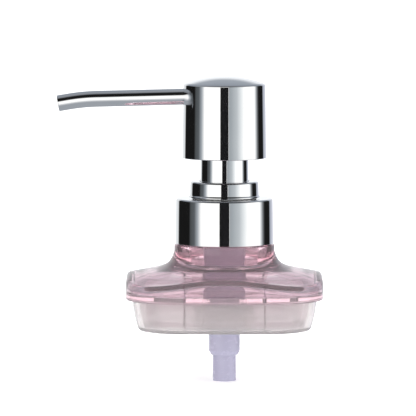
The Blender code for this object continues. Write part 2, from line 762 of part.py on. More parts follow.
def make_piston(frame, look):
    bore = ROD_RADIUS + GAP
    lip = BARREL_BORE - GAP
    waist = lip - PISTON_LIP
    profile = [
        (lip, PISTON_TOP),
        (lip, PISTON_TOP - PISTON_LIP),
        (waist, PISTON_TOP - 1.5 * PISTON_LIP),
        (waist, PISTON_BOTTOM + 1.5 * PISTON_LIP),
        (lip, PISTON_BOTTOM + PISTON_LIP),
        (lip, PISTON_BOTTOM),
        (bore, PISTON_BOTTOM),
        (bore, PISTON_TOP),
    ]
    return finish_part(turned("piston", profile, at=PISTON_BOTTOM), frame, look)


# ---------------------------------------------------------------- head and spout
def spout_axis():
    """Where the spout's centreline crosses the head's skirt, and its direction outwards there."""
    away = Vector((-math.cos(SPOUT_DROOP), 0.0, -math.sin(SPOUT_DROOP)))
    return Vector((-HEAD_RADIUS, 0.0, SPOUT_HEIGHT)), away


def spout_route(past=0.0):
    """Points down the spout's centreline: straight, a gentle bend, and a straight tip."""
    wall, away = spout_axis()
    points = [wall - away * (SPOUT_INSERT + past), wall, wall + away * SPOUT_STRAIGHT]
    bend_steps = 6
    for i in range(bend_steps):
        angle = SPOUT_DROOP + (SPOUT_TIP_DROOP - SPOUT_DROOP) * (i + 0.5) / bend_steps
        away = Vector((-math.cos(angle), 0.0, -math.sin(angle)))
        points.append(points[-1] + away * SPOUT_BEND / bend_steps)
    away = Vector((-math.cos(SPOUT_TIP_DROOP), 0.0, -math.sin(SPOUT_TIP_DROOP)))
    points.append(points[-1] + away * (SPOUT_TIP + past))
    return points


def swept_tube(name, radius, route):
    """A solid round bar along a route, as a mesh whose end caps are welded on."""
    data = bpy.data.curves.new(name, "CURVE")
    data.dimensions = "3D"
    data.bevel_depth = radius
    data.bevel_resolution = 4
    data.use_fill_caps = True
    spline = data.splines.new("POLY")
    spline.points.add(len(route) - 1)
    for point, place in zip(spline.points, route):
        point.co = (*place, 1.0)
    curve = bpy.data.objects.new(name, data)
    bpy.context.scene.collection.objects.link(curve)
    bpy.context.view_layer.update()
    graph = bpy.context.evaluated_depsgraph_get()
    mesh = bpy.data.meshes.new_from_object(curve.evaluated_get(graph))
    bpy.data.objects.remove(curve)
    shape = bmesh.new()
    shape.from_mesh(mesh)
    bmesh.ops.remove_doubles(shape, verts=shape.verts, dist=0.00001)
    bmesh.ops.recalc_face_normals(shape, faces=shape.faces)
    shape.to_mesh(mesh)
    shape.free()
    mesh.name = name
    return bpy.data.objects.new(name, mesh)


def make_spout_tube(frame, look):
    wall, _ = spout_axis()
    bore = as_cutter(swept_tube("spout_bore_cutter", SPOUT_BORE, spout_route(past=GAP)))
    spout = swept_tube("spout_tube", SPOUT_RADIUS, spout_route())
    spout.data.transform(Matrix.Translation(-Vector((0.0, 0.0, wall.z))))
    spout.location.z = wall.z
    return finish_part(combine(spout, bore, "DIFFERENCE"), frame, look)


def dome_profile(edge_radius, edge_height, rise, steps):
    """Points of a shallow spherical cap, from its crown on the axis down to its edge."""
    sphere = (edge_radius**2 + rise**2) / (2 * rise)
    spread = math.asin(edge_radius / sphere)
    crown = edge_height + rise - sphere
    points = [(0.0, edge_height + rise)]
    for i in range(1, steps + 1):
        angle = spread * i / steps
        points.append((sphere * math.sin(angle), crown + sphere * math.cos(angle)))
    return points


def make_head_shell(frame, look):
    shoulder_radius = HEAD_RADIUS - HEAD_DRAFT
    edge = HEAD_FILLET
    rim = shoulder_radius - edge
    inside_top = HEAD_INSIDE - HEAD_DRAFT
    profile = dome_profile(rim, HEAD_SHOULDER + edge * 0.8, DOME_RISE - edge * 0.8, 5)
    profile += [
        (shoulder_radius - edge * 0.3, HEAD_SHOULDER + edge * 0.3),
        (shoulder_radius, HEAD_SHOULDER - edge * 0.5),
        (HEAD_RADIUS, HEAD_BOTTOM + GAP),
        (HEAD_RADIUS - GAP, HEAD_BOTTOM),
        (HEAD_INSIDE, HEAD_BOTTOM),
        (inside_top, HEAD_CEILING),
    ]
    profile += reversed(dome_profile(inside_top - edge, HEAD_CEILING + GAP, DOME_RISE * 0.6, 3))
    shell = turned("head_shell", profile, STEPS, HEAD_BOTTOM, closed=False)
    wall, away = spout_axis()
    hole = rod_cutter(
        "spout_hole_cutter",
        SPOUT_RADIUS + GAP,
        wall - away * 4 * HEAD_WALL,
        wall + away * 2 * HEAD_WALL,
    )
    return finish_part(combine(shell, hole, "DIFFERENCE"), frame, look)


def make_head_core(frame, look):
    boss = SLEEVE_BORE - 2 * GAP
    profile = [
        (0.0, CORE_TOP),
        (CORE_RADIUS, CORE_TOP),
        (CORE_RADIUS, CORE_BOTTOM),
        (boss, CORE_BOTTOM),
        (boss, CORE_BOSS_BOTTOM),
        (GUIDE_BORE, CORE_BOSS_BOTTOM),
        (GUIDE_BORE, STEM_TOP + GAP),
        (0.0, STEM_TOP + GAP),
    ]
    core = turned("head_core", profile, STEPS, CORE_BOTTOM, closed=False)
    wall, away = spout_axis()
    inner_end = wall - away * (SPOUT_INSERT + GAP)
    socket = rod_cutter(
        "spout_socket_cutter", SPOUT_RADIUS + GAP, inner_end, wall + away * HEAD_WALL
    )
    over_stem = Vector((0.0, 0.0, inner_end.z))
    outlet = rod_cutter("outlet_cutter", SPOUT_BORE, over_stem, inner_end + away * GAP)
    riser = rod_cutter("riser_cutter", STEM_BORE, (0, 0, STEM_TOP), (0, 0, inner_end.z))
    for cutter in (socket, outlet, riser):
        combine(core, cutter, "DIFFERENCE")
    return finish_part(core, frame, look)


# ---------------------------------------------------------------- the whole object
clear_scene()
PARTS = collection("soap_pump_dispenser")
CUTTERS = collection("cutters", hidden=True)
STATIONS = plan_stations(LID_FLAT_HALF)

CHROME = material("chrome", (0.86, 0.86, 0.88), 0.05, metallic=1.0)
PINK = material("pink_plastic", (0.90, 0.62, 0.72), 0.05, transmission=0.9)
FROSTED = material("frosted_packing", (0.86, 0.82, 0.83), 0.45, transmission=0.3)
LAVENDER = material("lavender_plastic", (0.80, 0.76, 0.88), 0.35, transmission=0.2)
WHITE = material("white_plastic", (0.88, 0.88, 0.88), 0.35)
SOFT_WHITE = material("soft_seal", (0.78, 0.78, 0.80), 0.6)
STEEL = material("spring_steel", (0.60, 0.60, 0.62), 0.25, metallic=1.0)

LID = body_frame("lid_frame", 0.0)
PUMP = body_frame("pump_frame", NECK_TOP)
COLLAR = body_frame("collar_frame", COLLAR_BOTTOM)
PLUNGER = body_frame("plunger_frame", STEM_BOTTOM)
PISTON = body_frame("piston_frame", PISTON_BOTTOM)
BALL = body_frame("ball_frame", BALL_CENTRE)
HEAD = body_frame("head_frame", CORE_BOTTOM)

make_lid_cover(LID, PINK)
make_lid_base(LID, PINK)
make_packing(LID, FROSTED)

make_barrel(PUMP, LAVENDER)
make_neck_gasket(PUMP, SOFT_WHITE)
make_dip_tube(PUMP, LAVENDER)
make_ball_retainer(PUMP, WHITE)
make_chaplet(PUMP, WHITE)
make_step_ring(PUMP, CHROME)
make_neck_sleeve(PUMP, CHROME)
make_stem_wiper(PUMP, SOFT_WHITE)
make_return_spring(PUMP, STEEL)

make_screw_collar(COLLAR, CHROME)
make_collar_liner(COLLAR, WHITE)

make_stem(PLUNGER, WHITE)
make_piston_seat(PLUNGER, WHITE)
make_piston(PISTON, SOFT_WHITE)
make_check_ball(BALL, STEEL)

make_head_shell(HEAD, CHROME)
make_head_core(HEAD, WHITE)
make_spout_tube(HEAD, CHROME)
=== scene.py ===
"""The looks of the soap pump lid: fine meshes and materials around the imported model.

Metres, in the frame of the CAD: the pump's axis is Z, and the spout points along -X.
"""
import json
import math

import bmesh
import bpy
from mathutils import Matrix, Vector


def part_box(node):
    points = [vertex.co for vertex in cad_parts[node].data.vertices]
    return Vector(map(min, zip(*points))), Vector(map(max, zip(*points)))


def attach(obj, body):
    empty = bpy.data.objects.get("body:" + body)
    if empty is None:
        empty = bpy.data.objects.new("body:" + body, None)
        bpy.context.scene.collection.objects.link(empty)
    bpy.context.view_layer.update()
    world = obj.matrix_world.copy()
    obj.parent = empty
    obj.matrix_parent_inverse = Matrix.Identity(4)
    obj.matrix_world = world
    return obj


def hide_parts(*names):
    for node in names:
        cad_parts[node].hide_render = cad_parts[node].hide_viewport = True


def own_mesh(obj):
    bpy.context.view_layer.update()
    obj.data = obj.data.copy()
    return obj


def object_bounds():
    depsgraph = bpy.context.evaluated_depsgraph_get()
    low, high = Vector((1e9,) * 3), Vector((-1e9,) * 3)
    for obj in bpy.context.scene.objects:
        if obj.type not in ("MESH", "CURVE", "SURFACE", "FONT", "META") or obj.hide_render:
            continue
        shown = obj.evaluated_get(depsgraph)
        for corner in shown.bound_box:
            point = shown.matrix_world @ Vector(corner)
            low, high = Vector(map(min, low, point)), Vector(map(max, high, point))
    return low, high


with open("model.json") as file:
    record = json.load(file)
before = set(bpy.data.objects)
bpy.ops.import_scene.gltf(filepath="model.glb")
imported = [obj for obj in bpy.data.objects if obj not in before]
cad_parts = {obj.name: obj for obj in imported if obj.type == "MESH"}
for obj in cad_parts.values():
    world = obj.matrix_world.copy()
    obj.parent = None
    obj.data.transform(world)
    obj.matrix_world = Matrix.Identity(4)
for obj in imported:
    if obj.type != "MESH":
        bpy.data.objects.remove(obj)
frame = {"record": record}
CAD_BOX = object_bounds()

# ---------------------------------------------------------------- walls and fits of the real pieces
GAP = 0.0003  # between pieces that seat on or run in each other
ROUND, SMALL_ROUND = 160, 96  # sides of the large and the small turned pieces
SHARP_EDGE, LID_SHARP_EDGE = 35, 28  # degrees: sharper edges aren't shaded smooth
CRISP_EDGE, EDGE, SOFT_EDGE = 0.0001, 0.0002, 0.0003  # roundings of plain edges
FILLET_SHARE = 0.48  # how much of a side one fillet may take

LID_FLAT_HALF = 0.0146  # half the straight part of each side of the lid
LID_EDGE_HIGH, LID_EDGE_LOW = 0.0069, 0.0041  # wall height at a side's middle and at a corner
LID_EDGE_BULGE = 0.8  # power that fills out the rise between them
LID_EDGE_FILLET = 0.0020
INNER_FILLET = 0.0018
LID_WALL = 0.0022
CREASE_WIDTH, CREASE_DEPTH = 0.0007, 0.0005
DECK_TOP, DECK_THICKNESS = 0.0118, 0.0018
DECK_SHARES = (
    *(0.0, 0.008, 0.017, 0.03, 0.045, 0.07, 0.1, 0.13),
    *(0.17, 0.22, 0.3, 0.38, 0.5, 0.62, 0.75, 0.88),
)
UNDER_DECK_SHARES = (0.75, 0.6, 0.45, 0.3, 0.1, 0.0)
FLARE_REACH = 0.0014
LAND_BOTTOM, LAND_TOP, LAND_EDGE = 0.0167, 0.0190, 0.00035
NECK_FOOT_FILLET = 0.0006
NECK_RADIUS, NECK_BORE = 0.0148, 0.0130
LAND_RADIUS = 0.01843
THREAD_PITCH, THREAD_TURNS = 0.0030, 1.25
THREAD_DEPTH, THREAD_ROOT, THREAD_CREST = 0.0007, 0.0015, 0.0007
THREAD_END_SHARE, THREAD_RUN_OUT = 0.15, 12  # ridge height at its ends, and its growth per turn
THREAD_LEVELS = 80

PACKING_INSET, PACKING_DRAFT, PACKING_BULGE = 0.0025, 0.0022, 1.8
PACKING_WALL, PACKING_FLOOR, PACKING_FILLET = 0.0022, 0.0013, 0.0016
LIP_RECESS = 0.0006
HUB_WALL, HUB_HEIGHT, HUB_STEP = 0.0031, 0.0077, 0.0025
SPIGOT_DEPTH, SPIGOT_WALL = 0.0085, 0.0022

COLLAR_DRAFT, COLLAR_WALL, COLLAR_ROOF, COLLAR_HOLE = 0.00023, 0.00093, 0.0012, 0.0119
CHROME_SHOULDER = 0.0009  # fillet of the collar's and the step ring's upper edges
LINER_WALL = 0.0010
BARREL_RADIUS, BARREL_BORE = 0.0078, 0.0066
FLANGE_THICKNESS, FLANGE_FILLET = 0.0012, 0.0004
LEDGE, SHOULDER_TOP, SHOULDER_BOTTOM, SHOULDER_FILLET = -0.0039, -0.0050, -0.0085, 0.0012
NOZZLE_RADIUS, NOZZLE_CHAMFER, NOZZLE_FILLET = 0.0057, 0.0014, 0.0008
SOCKET_RADIUS, SOCKET_TOP = 0.00455, -0.01245
CHAMBER_RADIUS, THROAT_RADIUS, SEAT_APEX = 0.0035, 0.00151, -0.01246
DIP_TUBE_WALL = 0.0010
RETAINER_BORE = 0.0011
RETAINER_PORTS, RETAINER_PORT_CIRCLE, RETAINER_PORT = 3, 0.0025, 0.0007

CHAPLET_DISC, CHAPLET_PLUG_RADIUS, BOSS_RADIUS, GUIDE_BORE = 0.0043, 0.0063, 0.0075, 0.0043
CHAPLET_PLUG = 0.0044
STEP_WALL, STEP_ROOF, STEP_HOLE, STEP_FLARE, STEP_DRAFT = 0.00085, 0.0010, 0.0092, 0.00045, 0.00015
SLEEVE_RADIUS, SLEEVE_BORE, SLEEVE_DRAFT, SLEEVE_FOOT = 0.0089, 0.0078, 0.00015, 0.0016
SLEEVE_FILLET = 0.0004
STEM_RADIUS, STEM_BORE, STEM_FLANGE_HEIGHT = 0.0040, 0.0026, 0.0011
PISTON_LIP, ROD_RADIUS, SEAT_HEIGHT, SEAT_BORE = 0.0010, 0.0023, 0.0015, 0.0011
SPRING_WIRE, SPRING_TURNS, SPRING_CLOSED_PITCH = 0.0009, 7, 0.0011

HEAD_WALL, HEAD_DRAFT, HEAD_FILLET, DOME_RISE = 0.0013, 0.0004, 0.0005, 0.0031
CORE_FLOOR_BOSS = 0.0046
SPOUT_RADIUS, SPOUT_BORE, SPOUT_TIP_EDGE = 0.0030, 0.0022, 0.00015
SPOUT_HEIGHT = 0.07315
SPOUT_DROOP, SPOUT_TIP_DROOP = math.radians(1.4), math.radians(9.6)
SPOUT_INSERT, SPOUT_STRAIGHT, SPOUT_BEND, SPOUT_TIP = 0.0101, 0.0313, 0.0104, 0.0040


def size(node):
    """(outer radius, lowest height, highest height) of a turned CAD node."""
    low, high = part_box(node)
    return high.y, low.z, high.z


# ---------------------------------------------------------------- mesh helpers
def mesh_object(name, points, faces, degrees=SHARP_EDGE):
    """A closed mesh with its faces pointing out, smooth except at edges sharper than degrees."""
    mesh = bpy.data.meshes.new(name)
    mesh.from_pydata([tuple(point) for point in points], [], faces)
    shape = bmesh.new()
    shape.from_mesh(mesh)
    bmesh.ops.recalc_face_normals(shape, faces=shape.faces)
    shape.to_mesh(mesh)
    shape.free()
    mesh.shade_smooth()
    mesh.set_sharp_from_angle(angle=math.radians(degrees))
    obj = bpy.data.objects.new(name, mesh)
    bpy.context.scene.collection.objects.link(obj)
    return obj


def loft(name, rings, closed=True, degrees=SHARP_EDGE):
    """Skin rings of equally many points. A closed loft joins its last ring to its first."""
    count = len(rings[0])
    faces = []
    for first in range(len(rings) if closed else len(rings) - 1):
        low, high = first * count, (first + 1) % len(rings) * count
        for i in range(count):
            j = (i + 1) % count
            faces.append((low + i, low + j, high + j, high + i))
    if not closed:
        last = (len(rings) - 1) * count
        faces.append(tuple(range(count)))
        faces.append(tuple(range(last, last + count)))
    return mesh_object(name, [point for ring in rings for point in ring], faces, degrees)


def rounded(corners, closed=True, steps=6):
    """An outline of (radius, height[, fillet]) corners, with each fillet drawn as an arc."""
    outline = []
    count = len(corners)
    for i, corner in enumerate(corners):
        here = Vector(corner[:2])
        fillet = corner[2] if len(corner) > 2 else 0.0
        if not fillet or (not closed and i in (0, count - 1)):
            outline.append(here)
            continue
        back = Vector(corners[i - 1][:2]) - here
        ahead = Vector(corners[(i + 1) % count][:2]) - here
        half = back.angle(ahead) / 2
        room = FILLET_SHARE * min(back.length, ahead.length)
        reach = min(fillet / math.tan(half), room)
        start = here + back.normalized() * reach
        end = here + ahead.normalized() * reach
        for step in range(steps + 1):
            share = step / steps
            outline.append(
                start * (1 - share) ** 2 + here * 2 * share * (1 - share) + end * share**2
            )
    return outline


def circle(radius, height, steps):
    return [
        (radius * math.cos(math.tau * i / steps), radius * math.sin(math.tau * i / steps), height)
        for i in range(steps)
    ]


def turned(name, corners, steps=SMALL_ROUND, degrees=SHARP_EDGE):
    """A ring: a closed section turned about the pump's axis."""
    return loft(name, [circle(r, z, steps) for r, z in rounded(corners)], True, degrees)


def capped(name, corners, steps=SMALL_ROUND, degrees=SHARP_EDGE):
    """A solid with a crown and a floor: an open section that starts and ends on the axis."""
    outline = rounded(corners, closed=False)
    rings = [circle(r, z, steps) for r, z in outline[1:-1]]
    points = [(0.0, 0.0, outline[0].y)] + [p for ring in rings for p in ring]
    points.append((0.0, 0.0, outline[-1].y))
    faces = [(0, 1 + i, 1 + (i + 1) % steps) for i in range(steps)]
    for ring in range(len(rings) - 1):
        low = 1 + ring * steps
        for i in range(steps):
            j = (i + 1) % steps
            faces.append((low + i, low + steps + i, low + steps + j, low + j))
    last, end = 1 + (len(rings) - 1) * steps, len(points) - 1
    faces += [(end, last + (i + 1) % steps, last + i) for i in range(steps)]
    return mesh_object(name, points, faces, degrees)


def tube_rings(route, radii, sides):
    """Rings of a round tube along a route of points, with one radius to each point."""
    rings = []
    for i, (point, radius) in enumerate(zip(route, radii)):
        tangent = (route[min(i + 1, len(route) - 1)] - route[max(i - 1, 0)]).normalized()
        across = Vector((0, 0, 1)).cross(tangent).normalized()
        up = tangent.cross(across)
        rings.append(
            [
                point + (across * math.cos(turn) + up * math.sin(turn)) * radius
                for turn in (math.tau * k / sides for k in range(sides))
            ]
        )
    return rings


def cut(obj, cutter):
    """Cut one mesh out of another for good, and throw the cutter away."""
    step = obj.modifiers.new("cut", "BOOLEAN")
    step.operation, step.solver, step.object = "DIFFERENCE", "EXACT", cutter
    graph = bpy.context.evaluated_depsgraph_get()
    graph.update()
    mesh = bpy.data.meshes.new_from_object(obj.evaluated_get(graph))
    obj.modifiers.remove(step)
    obj.data = mesh
    mesh.set_sharp_from_angle(angle=math.radians(SHARP_EDGE))
    bpy.data.objects.remove(cutter)
    return obj


def rod(name, radius, start, end, sides=64):
    """A plain round cutter from start to end."""
    start, end = Vector(start), Vector(end)
    run = (end - start).normalized()
    across = run.orthogonal().normalized()
    up = run.cross(across)
    rings = [
        [
            place + (across * math.cos(turn) + up * math.sin(turn)) * radius
            for turn in (math.tau * k / sides for k in range(sides))
        ]
        for place in (start, end)
    ]
    return loft(name, rings, closed=False)


def thread_point(direction, radius, depth, height, start):
    """A point of a threaded wall: the ridge stands out by depth along a right-handed helix."""
    angle = math.atan2(direction.y, direction.x) % math.tau
    stand = 0.0
    for turn in range(math.ceil(THREAD_TURNS)):
        wound = angle / math.tau + turn
        if wound <= THREAD_TURNS:
            to_end = min(wound, THREAD_TURNS - wound)
            ends = min(1.0, THREAD_END_SHARE + to_end * THREAD_RUN_OUT)
            off = abs(height - start - wound * THREAD_PITCH)
            slope = (THREAD_ROOT * ends / 2 - off) / ((THREAD_ROOT - THREAD_CREST) / 2)
            stand = max(stand, ends * min(1.0, max(0.0, slope)))
    reach = radius + depth * stand
    return Vector((reach * math.cos(angle), reach * math.sin(angle), height))


# ---------------------------------------------------------------- the lid's rounded square
def plan_stations(flat_half, flat_steps=24, corner_steps=32):
    """(centre, outward direction, crease) around a square with rounded corners.

    Where a side meets a corner the mould leaves a fine crease: crease is 1 in its valley and 0
    elsewhere.
    """
    stations = []
    near = CREASE_WIDTH / 2
    for side in range(4):
        turn = Matrix.Rotation(side * math.pi / 2, 2)
        reach = [flat_half * (2 * i / flat_steps - 1) for i in range(1, flat_steps)]
        for along in [-flat_half, near - flat_half, *reach, flat_half - near]:
            crease = 1.0 if along == -flat_half else 0.0
            stations.append((turn @ Vector((flat_half, along)), turn @ Vector((1.0, 0.0)), crease))
        corner = turn @ Vector((flat_half, flat_half))
        slight = near / (LID_HALF_WIDTH - flat_half)
        reach = [math.pi / 2 * i / corner_steps for i in range(1, corner_steps)]
        for angle in [0.0, slight, *reach, math.pi / 2 - slight]:
            crease = 1.0 if angle == 0.0 else 0.0
            out = turn @ Vector((math.cos(angle), math.sin(angle)))
            stations.append((corner, out, crease))
    return stations


LID_HALF_WIDTH = size("lid_base")[0]
STATIONS = plan_stations(LID_FLAT_HALF)
BASE_TOP = size("lid_base")[2]
NECK_TOP = size("lid_cover")[2]
THREAD_START = LAND_TOP + (NECK_TOP - LAND_TOP - THREAD_TURNS * THREAD_PITCH) / 2
PACKING_BOTTOM = size("packing")[1]


def plan_ring(half_width, height, crease=0.0):
    """The rounded square at a half width. height is a number, or a function of the angle."""
    radius = half_width - LID_FLAT_HALF
    ring = []
    for centre, direction, valley in STATIONS:
        x, y = centre + (radius - crease * valley) * direction
        ring.append(Vector((x, y, height(math.atan2(y, x)) if callable(height) else height)))
    return ring


def round_ring(radius, height):
    outline = plan_ring(LID_HALF_WIDTH, 0.0)
    return [point.normalized() * radius + Vector((0.0, 0.0, height)) for point in outline]


def edge_height(angle):
    """Height of the lid's wall: high in the middle of each side and low at the corners."""
    side = (1 + math.cos(4 * angle)) / 2
    return LID_EDGE_LOW + (LID_EDGE_HIGH - LID_EDGE_LOW) * side**LID_EDGE_BULGE


def deck_ring(share, lift=0.0, flare=True):
    """A ring of the deck: share 0 is at the land, 1 where the edge's fillet starts."""
    inner = round_ring(LAND_RADIUS, 0.0)
    outer = plan_ring(LID_HALF_WIDTH - LID_EDGE_FILLET, 0.0)
    ring = []
    for near, far in zip(inner, outer):
        point = near.lerp(far, share)
        rim = edge_height(math.atan2(point.y, point.x)) + LID_EDGE_FILLET
        point.z = DECK_TOP + (rim - DECK_TOP) * share + lift
        if flare:
            reach = (point.xy - near.xy).length
            point.z += (LAND_BOTTOM - DECK_TOP) * math.exp(-reach / FLARE_REACH)
        ring.append(point)
    return ring


def lid_cover():
    floor, inside = BASE_TOP + GAP, LID_HALF_WIDTH - LID_WALL
    rings = [
        round_ring(NECK_BORE + GAP, NECK_TOP),
        round_ring(NECK_RADIUS - THREAD_DEPTH, NECK_TOP),
        round_ring(NECK_RADIUS, NECK_TOP - THREAD_DEPTH),
    ]
    outline = round_ring(1.0, 0.0)
    for level in range(THREAD_LEVELS + 1):
        fall = (LAND_TOP - NECK_TOP + THREAD_DEPTH) * level / THREAD_LEVELS
        height = NECK_TOP - THREAD_DEPTH + fall
        rings.append(
            [thread_point(p, NECK_RADIUS, THREAD_DEPTH, height, THREAD_START) for p in outline]
        )
    rings += [
        round_ring(LAND_RADIUS - LAND_EDGE, LAND_TOP),
        round_ring(LAND_RADIUS - CRISP_EDGE, LAND_TOP - CRISP_EDGE),
        round_ring(LAND_RADIUS, LAND_TOP - LAND_EDGE),
    ]
    rings += [deck_ring(share) for share in DECK_SHARES]
    fillet_steps = 10
    for step in range(fillet_steps + 1):
        turn = math.pi / 2 * step / fillet_steps
        half_width = LID_HALF_WIDTH - LID_EDGE_FILLET * (1 - math.sin(turn))
        rise = LID_EDGE_FILLET * math.cos(turn)
        crease = CREASE_DEPTH * min(1.0, max(0.0, 2 * step / fillet_steps - 0.5))
        fillet = plan_ring(half_width, lambda angle, rise=rise: edge_height(angle) + rise, crease)
        rings.append(fillet)
    rings += [
        plan_ring(LID_HALF_WIDTH, floor + EDGE, CREASE_DEPTH),
        plan_ring(LID_HALF_WIDTH - EDGE, floor, CREASE_DEPTH),
        plan_ring(inside, floor),
    ]
    ceiling = LID_EDGE_FILLET - DECK_THICKNESS
    for step in range(fillet_steps + 1):
        turn = math.pi / 2 * step / fillet_steps
        half_width = inside - INNER_FILLET * (1 - math.cos(turn))
        rise = ceiling - INNER_FILLET * (1 - math.sin(turn))
        rings.append(plan_ring(half_width, lambda angle, rise=rise: edge_height(angle) + rise))
    for share in UNDER_DECK_SHARES:
        rings.append(deck_ring(share, -DECK_THICKNESS, flare=False))
    rings += [
        round_ring(NECK_BORE + 2 * EDGE, DECK_TOP - DECK_THICKNESS + EDGE),
        round_ring(NECK_BORE, DECK_TOP - DECK_THICKNESS + NECK_FOOT_FILLET),
        round_ring(NECK_BORE, NECK_TOP - GAP),
    ]
    return loft("lid_cover_fine", rings, degrees=LID_SHARP_EDGE)


def packing_half_width(height):
    depth = min(1.0, max(0.0, height / PACKING_BOTTOM))
    return LID_HALF_WIDTH - PACKING_INSET - PACKING_DRAFT * depth**PACKING_BULGE


def spigot_half_width(height):
    return packing_half_width(height) - PACKING_WALL - GAP


def lid_base():
    hole = BARREL_RADIUS + GAP
    groove = packing_half_width(0.0) + GAP
    rings = [
        plan_ring(LID_HALF_WIDTH - EDGE, BASE_TOP, CREASE_DEPTH),
        plan_ring(LID_HALF_WIDTH, BASE_TOP - EDGE, CREASE_DEPTH),
        plan_ring(LID_HALF_WIDTH, GAP, CREASE_DEPTH),
        plan_ring(LID_HALF_WIDTH - GAP, 0.0, CREASE_DEPTH),
        plan_ring(groove, 0.0),
        plan_ring(groove, LIP_RECESS),
        plan_ring(spigot_half_width(0.0), LIP_RECESS),
    ]
    for share in (0.0, 0.25, 0.5, 0.75, 0.95):
        height = -SPIGOT_DEPTH * share
        rings.append(plan_ring(spigot_half_width(height), height))
    rings.append(plan_ring(spigot_half_width(-SPIGOT_DEPTH) - EDGE, -SPIGOT_DEPTH))
    rings.append(plan_ring(spigot_half_width(-SPIGOT_DEPTH) - SPIGOT_WALL + EDGE, -SPIGOT_DEPTH))
    for share in (0.95, 0.6, 0.3, 0.1):
        height = -SPIGOT_DEPTH * share
        rings.append(plan_ring(spigot_half_width(height) - SPIGOT_WALL, height))
    rings += [
        plan_ring(spigot_half_width(0.0) - SPIGOT_WALL - 2 * EDGE, 0.0),
        round_ring(hole, 0.0),
        round_ring(hole, BASE_TOP),
    ]
    return loft("lid_base_fine", rings, degrees=LID_SHARP_EDGE)


def packing():
    bottom, top = PACKING_BOTTOM, size("packing")[2]
    floor, hub_top, hub_step = bottom + PACKING_FLOOR, bottom + HUB_HEIGHT, bottom + HUB_STEP
    share = (SHOULDER_TOP - hub_top) / (SHOULDER_TOP - SHOULDER_BOTTOM)
    hub_bore = BARREL_RADIUS + (NOZZLE_RADIUS - BARREL_RADIUS) * max(0.0, share) + GAP
    floor_bore = NOZZLE_RADIUS + GAP
    fillet_top = bottom + PACKING_FILLET
    wall_steps, fillet_steps = 12, 8
    rings = [plan_ring(packing_half_width(top) - EDGE, top)]
    for step in range(wall_steps + 1):
        height = top - EDGE + (fillet_top - top + EDGE) * step / wall_steps
        rings.append(plan_ring(packing_half_width(height), height, CREASE_DEPTH))
    for step in range(1, fillet_steps + 1):
        turn = math.pi / 2 * step / fillet_steps
        inset = PACKING_FILLET * (1 - math.cos(turn))
        height = fillet_top - PACKING_FILLET * math.sin(turn)
        rings.append(plan_ring(packing_half_width(fillet_top) - inset, height))
    rings += [
        round_ring(floor_bore + EDGE, bottom),
        round_ring(floor_bore, bottom + EDGE),
        round_ring(floor_bore, hub_step),
        round_ring(hub_bore, hub_step),
        round_ring(hub_bore, hub_top - EDGE),
        round_ring(hub_bore + EDGE, hub_top),
        round_ring(hub_bore + HUB_WALL - EDGE, hub_top),
        round_ring(hub_bore + HUB_WALL, hub_top - EDGE),
        round_ring(hub_bore + HUB_WALL, floor + EDGE),
        round_ring(hub_bore + HUB_WALL + EDGE, floor),
        plan_ring(packing_half_width(floor) - PACKING_WALL - 4 * EDGE, floor),
        plan_ring(packing_half_width(floor) - PACKING_WALL - EDGE, floor + EDGE),
    ]
    for share in (0.85, 0.6, 0.4, 0.2):
        height = bottom * share
        rings.append(plan_ring(packing_half_width(height) - PACKING_WALL, height))
    rings.append(plan_ring(packing_half_width(top) - PACKING_WALL, top))
    return loft("packing_fine", rings, degrees=LID_SHARP_EDGE)


# ---------------------------------------------------------------- collar
def screw_collar():
    radius, low, high = size("screw_collar")
    inside = radius - COLLAR_WALL
    return turned(
        "screw_collar_fine",
        [
            (COLLAR_HOLE, high, EDGE),
            (radius - COLLAR_DRAFT, high, CHROME_SHOULDER),
            (radius, low, EDGE),
            (inside, low, CRISP_EDGE),
            (inside, high - COLLAR_ROOF, SOFT_EDGE),
            (COLLAR_HOLE, high - COLLAR_ROOF),
        ],
        ROUND,
    )


def collar_liner():
    radius, low, high = size("collar_liner")
    bore, edge = radius - LINER_WALL, LINER_WALL / 4
    start = THREAD_START - THREAD_PITCH / 2
    outline = [Vector(point) for point in circle(1.0, 0.0, SMALL_ROUND)]
    rings = [circle(r, z, SMALL_ROUND) for r, z in ((radius - edge, high), (radius, high - edge))]
    rings += [circle(r, z, SMALL_ROUND) for r, z in ((radius, low + edge), (radius - edge, low))]
    for level in range(THREAD_LEVELS + 1):
        height = low + (high - low) * level / THREAD_LEVELS
        rings.append([thread_point(p, bore, -THREAD_DEPTH, height, start) for p in outline])
    return loft("collar_liner_fine", rings, degrees=LID_SHARP_EDGE)


# ---------------------------------------------------------------- pump body
def barrel():
    flange, end, top = size("barrel")
    return turned(
        "barrel_fine",
        [
            (flange, top, EDGE),
            (flange, top - FLANGE_THICKNESS, EDGE),
            (BARREL_RADIUS, top - FLANGE_THICKNESS, FLANGE_FILLET),
            (BARREL_RADIUS, SHOULDER_TOP, SHOULDER_FILLET),
            (NOZZLE_RADIUS, SHOULDER_BOTTOM, SHOULDER_FILLET),
            (NOZZLE_RADIUS, end + NOZZLE_CHAMFER, NOZZLE_FILLET),
            (SOCKET_RADIUS + SOFT_EDGE, end, CRISP_EDGE),
            (SOCKET_RADIUS, end),
            (SOCKET_RADIUS, SOCKET_TOP),
            (THROAT_RADIUS, SOCKET_TOP),
            (THROAT_RADIUS, SEAT_APEX + THROAT_RADIUS),
            (CHAMBER_RADIUS, SEAT_APEX + CHAMBER_RADIUS),
            (CHAMBER_RADIUS, LEDGE, EDGE),
            (BARREL_BORE, LEDGE),
            (BARREL_BORE, top),
        ],
    )


def dip_tube():
    radius, _, _ = size("dip_tube")
    return ring("dip_tube_fine", "dip_tube", radius - DIP_TUBE_WALL, CRISP_EDGE)


